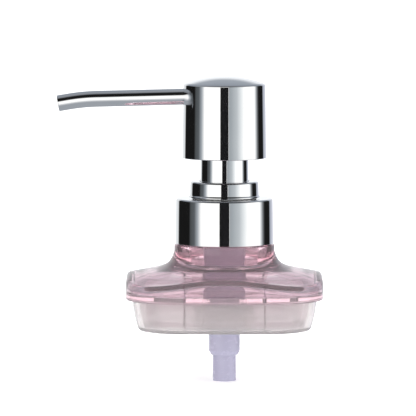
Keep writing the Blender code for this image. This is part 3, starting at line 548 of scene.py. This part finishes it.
def ring(name, node, bore, edge):
    """A plain ring as tall and as wide as its node, with rounded edges."""
    radius, low, high = size(node)
    corners = [(radius, high), (radius, low), (bore, low), (bore, high)]
    return turned(name, [(r, z, edge) for r, z in corners])


def chaplet():
    radius, low, high = size("chaplet")
    bottom = low + CHAPLET_PLUG
    disc_top = bottom + CHAPLET_DISC
    return turned(
        "chaplet_fine",
        [
            (BOSS_RADIUS, high, GAP),
            (BOSS_RADIUS, disc_top),
            (radius, disc_top, GAP),
            (radius, bottom, GAP),
            (CHAPLET_PLUG_RADIUS, bottom),
            (CHAPLET_PLUG_RADIUS, low, GAP),
            (GUIDE_BORE, low),
            (GUIDE_BORE, high),
        ],
    )


def step_ring():
    foot, low, high = size("step_ring")
    wall = foot - STEP_FLARE
    inside = foot - STEP_FLARE - STEP_WALL
    return turned(
        "step_ring_fine",
        [
            (STEP_HOLE, high, CRISP_EDGE),
            (wall, high, CHROME_SHOULDER),
            (wall + STEP_DRAFT, low + 2 * STEP_FLARE, CHROME_SHOULDER),
            (foot, low + STEP_FLARE, SOFT_EDGE),
            (foot, low, EDGE),
            (inside, low),
            (inside, high - STEP_ROOF),
            (STEP_HOLE, high - STEP_ROOF),
        ],
        ROUND,
    )


def neck_sleeve():
    foot, low, high = size("neck_sleeve")
    return turned(
        "neck_sleeve_fine",
        [
            (SLEEVE_RADIUS - SLEEVE_DRAFT, high, SLEEVE_FILLET),
            (SLEEVE_RADIUS, low + SLEEVE_FOOT),
            (foot, low + SLEEVE_FOOT, EDGE),
            (foot, low, EDGE),
            (SLEEVE_BORE, low),
            (SLEEVE_BORE, high, EDGE),
        ],
        ROUND,
    )


def stem_wiper():
    outer, low, high = size("stem_wiper")
    lip = GUIDE_BORE + (outer - GUIDE_BORE) / 3
    return turned(
        "stem_wiper_fine",
        [
            (lip, high, EDGE),
            (outer, (low + high) / 2, SOFT_EDGE),
            (outer, low, CRISP_EDGE),
            (GUIDE_BORE, low),
            (GUIDE_BORE, high, CRISP_EDGE),
        ],
    )


def spring_height(turn, bottom, top):
    pitch = (top - bottom - 2 * SPRING_CLOSED_PITCH) / (SPRING_TURNS - 2)
    if turn < 1:
        return bottom + turn * SPRING_CLOSED_PITCH
    if turn > SPRING_TURNS - 1:
        return top - (SPRING_TURNS - turn) * SPRING_CLOSED_PITCH
    return bottom + SPRING_CLOSED_PITCH + (turn - 1) * pitch


def return_spring():
    _, low, high = size("return_spring")
    coil = (BARREL_BORE + ROD_RADIUS) / 2
    bottom, top = low + SPRING_WIRE / 2, high - SPRING_WIRE / 2
    per_turn = 40
    route = []
    for i in range(SPRING_TURNS * per_turn + 1):
        turn = i / per_turn
        angle = math.tau * turn
        height = spring_height(turn, bottom, top)
        route.append(Vector((coil * math.cos(angle), coil * math.sin(angle), height)))
    rings = tube_rings(route, [SPRING_WIRE / 2] * len(route), sides=12)
    return loft("return_spring_fine", rings, closed=False)


# ---------------------------------------------------------------- plunger, piston and ball
def stem():
    flange, low, high = size("stem")
    return turned(
        "stem_fine",
        [
            (STEM_RADIUS, high, EDGE),
            (STEM_RADIUS, low + STEM_FLANGE_HEIGHT, EDGE),
            (flange, low + STEM_FLANGE_HEIGHT, EDGE),
            (flange, low, EDGE),
            (STEM_BORE, low),
            (STEM_BORE, high),
        ],
    )


def piston_seat():
    flange, low, high = size("piston_seat")
    top = low + SEAT_HEIGHT
    port = top + 2 * SEAT_BORE
    seat = capped(
        "piston_seat_fine",
        [
            (0.0, high),
            (ROD_RADIUS, high, SOFT_EDGE),
            (ROD_RADIUS, top, EDGE),
            (flange, top, EDGE),
            (flange, low, EDGE),
            (0.0, low),
        ],
    )
    across = 2 * ROD_RADIUS
    cut(seat, rod("seat_bore", SEAT_BORE, (0, 0, port), (0, 0, high + GAP), 32))
    side_port = rod("seat_port", SEAT_BORE * 0.8, (-across, 0, port), (across, 0, port), 32)
    return cut(seat, side_port)


def piston():
    lip, low, high = size("piston")
    waist = lip - PISTON_LIP
    bore = ROD_RADIUS + GAP
    return turned(
        "piston_fine",
        [
            (lip, high, CRISP_EDGE),
            (lip, high - PISTON_LIP, EDGE),
            (waist, high - 1.5 * PISTON_LIP, SOFT_EDGE),
            (waist, low + 1.5 * PISTON_LIP, SOFT_EDGE),
            (lip, low + PISTON_LIP, EDGE),
            (lip, low, CRISP_EDGE),
            (bore, low, CRISP_EDGE),
            (bore, high, CRISP_EDGE),
        ],
    )


def check_ball():
    radius, low, high = size("check_ball")
    middle, steps = (low + high) / 2, 32
    outline = [
        (radius * math.sin(math.pi * i / steps), middle + radius * math.cos(math.pi * i / steps))
        for i in range(steps + 1)
    ]
    return capped("check_ball_fine", outline, 64, degrees=60)


def ball_retainer():
    retainer = ring("ball_retainer_fine", "ball_retainer", RETAINER_BORE, CRISP_EDGE)
    _, low, high = size("ball_retainer")
    for i in range(RETAINER_PORTS):
        angle = math.tau * (i + 0.5) / RETAINER_PORTS
        x, y = RETAINER_PORT_CIRCLE * math.cos(angle), RETAINER_PORT_CIRCLE * math.sin(angle)
        cut(retainer, rod("port", RETAINER_PORT, (x, y, low - GAP), (x, y, high + GAP), 24))
    return retainer


# ---------------------------------------------------------------- head and spout
def spout_axis():
    away = Vector((-math.cos(SPOUT_DROOP), 0.0, -math.sin(SPOUT_DROOP)))
    return Vector((-size("head_shell")[0], 0.0, SPOUT_HEIGHT)), away


def dome(edge_radius, edge_height, rise, steps):
    """Points of a shallow spherical cap, from its crown on the axis down to its edge."""
    sphere = (edge_radius**2 + rise**2) / (2 * rise)
    spread = math.asin(edge_radius / sphere)
    crown = edge_height + rise - sphere
    return [
        (sphere * math.sin(spread * i / steps), crown + sphere * math.cos(spread * i / steps))
        for i in range(steps + 1)
    ]


def head_shell():
    radius, low, high = size("head_shell")
    shoulder, shoulder_radius = high - DOME_RISE, radius - HEAD_DRAFT
    inside = radius - HEAD_WALL
    inside_top = inside - HEAD_DRAFT
    ceiling = shoulder - GAP
    lift = HEAD_FILLET * 0.8  # the crown starts a little above the shoulder, where its fillet ends
    crown = dome(shoulder_radius - HEAD_FILLET, shoulder + lift, DOME_RISE - lift, steps=24)
    under = dome(inside_top - HEAD_FILLET, ceiling + GAP, DOME_RISE * 0.6, steps=8)
    corners = crown[:-1] + [
        (shoulder_radius - HEAD_FILLET * 0.7, shoulder + HEAD_FILLET * 0.7),
        (shoulder_radius, shoulder - HEAD_FILLET * 0.2, HEAD_FILLET),
        (radius, low, SOFT_EDGE),
        (inside, low, EDGE),
        (inside_top, ceiling, EDGE),
    ]
    shell = capped("head_shell_fine", corners + under[::-1], ROUND)
    wall, away = spout_axis()
    inner_end, outer_end = wall - away * 4 * HEAD_WALL, wall + away * 2 * HEAD_WALL
    return cut(shell, rod("spout_hole", SPOUT_RADIUS + GAP / 2, inner_end, outer_end))


def head_core():
    radius, low, high = size("head_core")
    floor = low + CORE_FLOOR_BOSS
    stem_top = size("stem")[2]
    core = capped(
        "head_core_fine",
        [
            (0.0, high),
            (radius, high, EDGE),
            (radius, floor, EDGE),
            (BOSS_RADIUS - GAP, floor),
            (BOSS_RADIUS - GAP, low, SOFT_EDGE),
            (GUIDE_BORE, low, CRISP_EDGE),
            (GUIDE_BORE, stem_top + GAP),
            (0.0, stem_top + GAP),
        ],
    )
    wall, away = spout_axis()
    inner_end = wall - away * (SPOUT_INSERT + GAP)
    over_stem = Vector((0.0, 0.0, inner_end.z))
    cut(core, rod("socket", SPOUT_RADIUS + GAP, inner_end, wall + away * HEAD_WALL))
    cut(core, rod("outlet", SPOUT_BORE, over_stem, inner_end + away * GAP, 48))
    return cut(core, rod("riser", STEM_BORE, (0, 0, stem_top), (0, 0, inner_end.z), 48))


def spout_tube():
    """The spout: a hollow tube that runs straight, bends gently and ends in a square cut."""
    wall, away = spout_axis()
    bend_steps, straight_steps, sides = 24, 12, 72
    route = [wall - away * SPOUT_INSERT, wall]
    for i in range(1, straight_steps):
        route.append(wall + away * SPOUT_STRAIGHT * i / straight_steps)
    route.append(wall + away * SPOUT_STRAIGHT)
    for i in range(bend_steps):
        angle = SPOUT_DROOP + (SPOUT_TIP_DROOP - SPOUT_DROOP) * (i + 0.5) / bend_steps
        away = Vector((-math.cos(angle), 0.0, -math.sin(angle)))
        route.append(route[-1] + away * SPOUT_BEND / bend_steps)
    away = Vector((-math.cos(SPOUT_TIP_DROOP), 0.0, -math.sin(SPOUT_TIP_DROOP)))
    tip = route[-1]
    route += [tip + away * (SPOUT_TIP - SPOUT_TIP_EDGE), tip + away * SPOUT_TIP]
    outer = [SPOUT_RADIUS] * (len(route) - 1) + [SPOUT_RADIUS - SPOUT_TIP_EDGE]
    inner = [SPOUT_BORE] * (len(route) - 1) + [SPOUT_BORE + SPOUT_TIP_EDGE / 2]
    shell = tube_rings(route, outer, sides)
    bore = tube_rings(route, inner, sides)
    return loft("spout_tube_fine", shell + bore[::-1])


# ---------------------------------------------------------------- materials
def new_material(name):
    made = bpy.data.materials.new(name)
    made.use_nodes = True
    return made, made.node_tree, made.node_tree.nodes["Principled BSDF"]


def noise(tree, scale, detail=2.0, stretch=(1.0, 1.0, 1.0)):
    """A noise value in the object's own coordinates."""
    place = tree.nodes.new("ShaderNodeTexCoord")
    spread = tree.nodes.new("ShaderNodeMapping")
    spread.inputs["Scale"].default_value = stretch
    made = tree.nodes.new("ShaderNodeTexNoise")
    made.inputs["Scale"].default_value = scale
    made.inputs["Detail"].default_value = detail
    tree.links.new(place.outputs["Object"], spread.inputs["Vector"])
    tree.links.new(spread.outputs["Vector"], made.inputs["Vector"])
    return made.outputs["Fac"]


def remap(tree, value, low, high, socket):
    """Send a 0.3 to 0.7 noise value to a socket as low to high."""
    made = tree.nodes.new("ShaderNodeMapRange")
    made.inputs["From Min"].default_value = 0.3
    made.inputs["From Max"].default_value = 0.7
    made.inputs["To Min"].default_value = low
    made.inputs["To Max"].default_value = high
    tree.links.new(value, made.inputs["Value"])
    tree.links.new(made.outputs["Result"], socket)


def ramp(tree, value, stops):
    """A colour ramp with stops of (position 0 to 1, grey or colour)."""
    made = tree.nodes.new("ShaderNodeValToRGB")
    elements = made.color_ramp.elements
    while len(elements) < len(stops):
        elements.new(0.5)
    for element, (position, colour) in zip(elements, stops):
        element.position = position
        shade = colour if isinstance(colour, tuple) else (colour,) * 3
        element.color = (*shade, 1.0)
    tree.links.new(value, made.inputs["Fac"])
    return made.outputs["Color"]


def tint(tree, value, first, second, socket):
    """Send a noise value to a colour socket as a blend of two near colours."""
    tree.links.new(ramp(tree, value, [(0.35, first), (0.65, second)]), socket)


def bump(tree, shader, value, strength, distance):
    made = tree.nodes.new("ShaderNodeBump")
    made.inputs["Strength"].default_value = strength
    made.inputs["Distance"].default_value = distance
    tree.links.new(value, made.inputs["Height"])
    tree.links.new(made.outputs["Normal"], shader.inputs["Normal"])


def chrome_material():
    """Mirror plating: faint haze and the slight waviness of plated, polished metal."""
    made, tree, shader = new_material("plated_chrome")
    shader.inputs["Metallic"].default_value = 1.0
    cloud, colour = noise(tree, 60.0), shader.inputs["Base Color"]
    tint(tree, cloud, (0.88, 0.885, 0.895), (0.93, 0.93, 0.935), colour)
    remap(tree, noise(tree, 240.0, 4.0), 0.02, 0.06, shader.inputs["Roughness"])
    bump(tree, shader, noise(tree, 90.0, 1.0), 0.02, 0.0002)
    return made


def pink_material(name, density, clarity):
    """Clear pink plastic: a little milky, weakly tinted and darker through its thickness."""
    made, tree, shader = new_material(name)
    shader.inputs["Base Color"].default_value = (0.93, 0.80, 0.85, 1.0)
    shader.inputs["Transmission Weight"].default_value = clarity
    shader.inputs["IOR"].default_value = 1.42
    remap(tree, noise(tree, 150.0, 3.0), 0.0, 0.03, shader.inputs["Roughness"])
    bump(tree, shader, noise(tree, 70.0, 1.0), 0.03, 0.0002)
    soak = tree.nodes.new("ShaderNodeVolumeAbsorption")
    soak.inputs["Color"].default_value = (0.82, 0.50, 0.58, 1.0)
    soak.inputs["Density"].default_value = density
    tree.links.new(soak.outputs["Volume"], tree.nodes["Material Output"].inputs["Volume"])
    return made


def soft_material(name, first, second, rough, transmission, subsurface, grain, strength):
    """A translucent moulded plastic or rubber: cloudy colour, fine grain and a soft inside."""
    made, tree, shader = new_material(name)
    cloud = noise(tree, 45.0, 3.0)
    tint(tree, cloud, first, second, shader.inputs["Base Color"])
    remap(tree, noise(tree, 600.0, 4.0), rough - 0.05, rough + 0.06, shader.inputs["Roughness"])
    bump(tree, shader, noise(tree, grain, 2.0), strength, 0.00002)
    shader.inputs["Transmission Weight"].default_value = transmission
    shader.inputs["Subsurface Weight"].default_value = subsurface
    shader.inputs["Subsurface Radius"].default_value = (0.004, 0.0035, 0.004)
    shader.inputs["Subsurface Scale"].default_value = 1.0
    return made


def steel_material():
    """Drawn wire and a ground ball: bright, with fine scratches and grain."""
    made, tree, shader = new_material("bright_steel")
    shader.inputs["Metallic"].default_value = 1.0
    cloud, colour = noise(tree, 80.0), shader.inputs["Base Color"]
    tint(tree, cloud, (0.52, 0.52, 0.54), (0.64, 0.64, 0.66), colour)
    remap(tree, noise(tree, 900.0, 4.0, (1.0, 1.0, 0.2)), 0.18, 0.34, shader.inputs["Roughness"])
    bump(tree, shader, noise(tree, 2500.0, 2.0), 0.1, 0.00005)
    return made


LOOKS = {
    "chrome": chrome_material(),
    "lid_plastic": pink_material("clear_pink_plastic", density=46.0, clarity=0.92),
    "packing_rubber": soft_material(
        "frosted_packing",
        (0.83, 0.79, 0.795),
        (0.88, 0.845, 0.845),
        rough=0.12,
        transmission=0.80,
        subsurface=0.0,
        grain=300.0,
        strength=0.03,
    ),
    "nozzle_plastic": soft_material(
        "milky_lavender",
        (0.46, 0.445, 0.59),
        (0.52, 0.50, 0.64),
        rough=0.24,
        transmission=0.0,
        subsurface=0.25,
        grain=400.0,
        strength=0.03,
    ),
    "white_plastic": soft_material(
        "moulded_white",
        (0.84, 0.84, 0.85),
        (0.90, 0.90, 0.90),
        rough=0.38,
        transmission=0.0,
        subsurface=0.2,
        grain=700.0,
        strength=0.1,
    ),
    "seal_rubber": soft_material(
        "soft_seal",
        (0.74, 0.74, 0.76),
        (0.82, 0.82, 0.83),
        rough=0.6,
        transmission=0.0,
        subsurface=0.2,
        grain=900.0,
        strength=0.15,
    ),
    "spring_steel": steel_material(),
}

# ---------------------------------------------------------------- hang every piece on its body
PIECES = {
    "lid_cover": lid_cover,
    "lid_base": lid_base,
    "packing": packing,
    "screw_collar": screw_collar,
    "collar_liner": collar_liner,
    "barrel": barrel,
    "dip_tube": dip_tube,
    "neck_gasket": lambda: ring("neck_gasket_fine", "neck_gasket", BARREL_RADIUS + GAP, EDGE),
    "ball_retainer": ball_retainer,
    "chaplet": chaplet,
    "step_ring": step_ring,
    "neck_sleeve": neck_sleeve,
    "stem_wiper": stem_wiper,
    "return_spring": return_spring,
    "stem": stem,
    "piston_seat": piston_seat,
    "piston": piston,
    "check_ball": check_ball,
    "head_shell": head_shell,
    "head_core": head_core,
    "spout_tube": spout_tube,
}
BODY_OF = {
    node: body
    for body, nodes in frame["record"]["behaviour"]["bodies"].items()
    for node in nodes
}
SLOT_OF = {part["node"]: part["material_slot"] for part in frame["record"]["subparts"]}

# Seen edge on, the base plate is 72 mm thick, so it's shaded as a paler mix than the cover.
PALER = {"lid_base": pink_material("pale_pink_plastic", density=13.0, clarity=0.84)}

for node, make in PIECES.items():
    piece = make()
    piece.data.materials.clear()
    piece.data.materials.append(PALER.get(node, LOOKS[SLOT_OF[node]]))
    if node == "return_spring":
        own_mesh(piece)
    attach(piece, BODY_OF[node])
    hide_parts(node)

# ---------------------------------------------------------------- camera
scene = bpy.context.scene
scene.view_settings.view_transform = "Standard"
VIEW_HEIGHT = math.radians(4.6)  # how far the camera looks down
VIEW_DISTANCE = 1.8
VIEW_WIDTH = 0.1528  # width of the picture at the object
TARGET = Vector((-0.006023, 0.0, 0.03221))  # middle of the picture, at the object
camera_data = bpy.data.cameras.new("camera")
camera_data.sensor_width = 36.0
camera_data.lens = camera_data.sensor_width * VIEW_DISTANCE / VIEW_WIDTH
camera_data.clip_start, camera_data.clip_end = 0.05, 20.0
camera = bpy.data.objects.new("camera", camera_data)
back = Vector((0.0, -math.cos(VIEW_HEIGHT), math.sin(VIEW_HEIGHT)))
camera.location = TARGET + back * VIEW_DISTANCE
camera.rotation_euler = (-back).to_track_quat("-Z", "Y").to_euler()
scene.collection.objects.link(camera)
scene.camera = camera


# ---------------------------------------------------------------- studio
def plane(name, width, depth, place, facing, look):
    """A flat card of the studio, which isn't part of the object."""
    half = (width / 2, depth / 2)
    points = [(sx * half[0], sy * half[1], 0.0) for sx, sy in ((-1, -1), (1, -1), (1, 1), (-1, 1))]
    made = mesh_object(name, points, [(0, 1, 2, 3)])
    made.rotation_euler = Vector(facing).to_track_quat("Z", "Y").to_euler()
    made.location = place
    made.data.materials.append(look)
    return made


def floor_material():
    """A near white floor with a glow of its own, so that it meets the white world."""
    made, tree, shader = new_material("pale_floor")
    cloud, colour = noise(tree, 2.0), shader.inputs["Base Color"]
    tint(tree, cloud, (0.93, 0.93, 0.93), (0.95, 0.95, 0.95), colour)
    shader.inputs["Roughness"].default_value = 0.9
    shader.inputs["Emission Color"].default_value = (1.0, 1.0, 1.0, 1.0)
    shader.inputs["Emission Strength"].default_value = 0.4
    return made


def card_material():
    """Dull black card, for the dark reflection down the front of the chrome."""
    made, tree, shader = new_material("black_card")
    cloud, colour = noise(tree, 8.0), shader.inputs["Base Color"]
    tint(tree, cloud, (0.010, 0.010, 0.011), (0.013, 0.013, 0.014), colour)
    shader.inputs["Roughness"].default_value = 0.9
    shader.inputs["Specular IOR Level"].default_value = 0.0
    return made


FLOOR_WIDTH = 12.0
FLOOR_HEIGHT = Vector(CAD_BOX[0]).z
floor = plane(
    "floor", FLOOR_WIDTH, FLOOR_WIDTH, (0, 0, FLOOR_HEIGHT), (0, 0, 1), floor_material()
)
floor.visible_glossy = False

STRIP_LEFT, STRIP_RIGHT, STRIP_TALL = -0.0138, 0.0132, 0.115
STRIP_DISTANCE, STRIP_MIDDLE = 0.075, 0.0255  # in front of the axis, and the height of its centre
strip = plane(
    "black_strip",
    STRIP_RIGHT - STRIP_LEFT,
    STRIP_TALL,
    ((STRIP_LEFT + STRIP_RIGHT) / 2, -STRIP_DISTANCE, STRIP_MIDDLE),
    (0, 1, 0),
    card_material(),
)
strip.visible_camera = strip.visible_diffuse = strip.visible_shadow = False
strip.visible_transmission = strip.visible_volume_scatter = False


def calculate(tree, operation, *values):
    """A maths node. Each value is a number or the socket that it comes from."""
    made = tree.nodes.new("ShaderNodeMath")
    made.operation = operation
    for socket, value in zip(made.inputs, values):
        if isinstance(value, (int, float)):
            socket.default_value = value
        else:
            tree.links.new(value, socket)
    return made.outputs["Value"]


def blend(tree, factor, first, second):
    """A colour mixed from first (at factor 0) and second (at 1), each a colour or a socket."""
    made = tree.nodes.new("ShaderNodeMix")
    made.data_type = "RGBA"
    tree.links.new(factor, made.inputs["Factor"])
    for socket, value in ((made.inputs[6], first), (made.inputs[7], second)):
        if isinstance(value, tuple):
            socket.default_value = (*value, 1.0)
        else:
            tree.links.new(value, socket)
    return made.outputs[2]


# The studio around the object, as a compass: degrees from the camera's side, + towards +X.
COMPASS = [
    (-180, (0.84, 0.86, 0.88)),
    (-141, (0.62, 0.64, 0.65)),
    (-136, 0.008),
    (-92, 0.008),
    (-88, (0.060, 0.066, 0.070)),
    (-76, (0.090, 0.100, 0.108)),
    (-66, (0.34, 0.37, 0.40)),
    (-56, (1.0, 1.0, 0.985)),
    (11, (1.0, 1.0, 0.985)),
    (12, (0.29, 0.31, 0.33)),
    (18, (0.32, 0.35, 0.37)),
    (35, (0.46, 0.49, 0.51)),
    (47, (0.73, 0.76, 0.77)),
    (58, (1.0, 1.0, 0.985)),
    (92, (1.0, 1.0, 0.985)),
    (98, (0.50, 0.52, 0.54)),
    (103, (0.17, 0.18, 0.19)),
    (110, 0.010),
    (133, 0.008),
    (137, (0.34, 0.36, 0.42)),
    (160, (0.62, 0.64, 0.70)),
    (180, (0.84, 0.86, 0.88)),
]


def build_world():
    """White light to the camera and matte pieces, the compass to chrome, bands to clear ones."""
    world = bpy.data.worlds.new("studio")
    world.use_nodes = True
    scene.world = world
    tree = world.node_tree
    background = tree.nodes["Background"]
    place = tree.nodes.new("ShaderNodeTexCoord")
    parts = tree.nodes.new("ShaderNodeSeparateXYZ")
    tree.links.new(place.outputs["Generated"], parts.inputs["Vector"])
    x, y, z = parts.outputs
    heading = calculate(tree, "ARCTAN2", x, calculate(tree, "MULTIPLY", y, -1.0))
    turn = calculate(tree, "MULTIPLY_ADD", heading, 1 / math.tau, 0.5)
    bands = ramp(tree, turn, [((angle + 180) / 360, shade) for angle, shade in COMPASS])
    depth = calculate(tree, "MULTIPLY_ADD", y, 0.5, 0.5)
    overhead = ramp(
        tree,
        depth,
        [
            (0.0, 0.008),
            (0.30, 0.008),
            (0.40, (0.19, 0.20, 0.22)),
            (0.60, (0.26, 0.28, 0.31)),
            (0.80, (0.21, 0.235, 0.275)),
            (1.0, (0.36, 0.39, 0.43)),
        ],
    )
    height = calculate(tree, "MULTIPLY_ADD", z, 0.5, 0.5)
    above = ramp(tree, height, [(0.64, 0.0), (0.74, 1.0)])
    below = ramp(tree, height, [(0.18, 1.0), (0.30, 0.6), (0.42, 0.0)])
    mixed = blend(tree, above, bands, overhead)
    mixed = blend(tree, below, mixed, (0.30, 0.32, 0.35))
    behind = ramp(
        tree, depth, [(0.0, 1.0), (0.30, 0.5), (0.45, 0.12), (0.60, 0.22), (0.78, 0.9), (1.0, 1.0)]
    )
    path = tree.nodes.new("ShaderNodeLightPath")
    light = blend(tree, path.outputs["Is Transmission Ray"], (1.0, 1.0, 1.0), behind)
    light = blend(tree, path.outputs["Is Glossy Ray"], light, mixed)
    tree.links.new(light, background.inputs["Color"])
    background.inputs["Strength"].default_value = 1.2


def soft_light(name, place, width, watts):
    """A round lamp that faces the object and doesn't show in the chrome."""
    data = bpy.data.lights.new(name, "AREA")
    data.shape, data.size, data.energy = "DISK", width, watts
    light = bpy.data.objects.new(name, data)
    light.location = place
    light.rotation_euler = (TARGET - light.location).to_track_quat("-Z", "Y").to_euler()
    light.visible_glossy = False
    scene.collection.objects.link(light)


build_world()
soft_light("key", Vector((-0.7, -0.9, 1.1)), width=0.9, watts=9.0)
soft_light("fill", Vector((0.9, -0.6, 0.7)), width=0.9, watts=5.0)
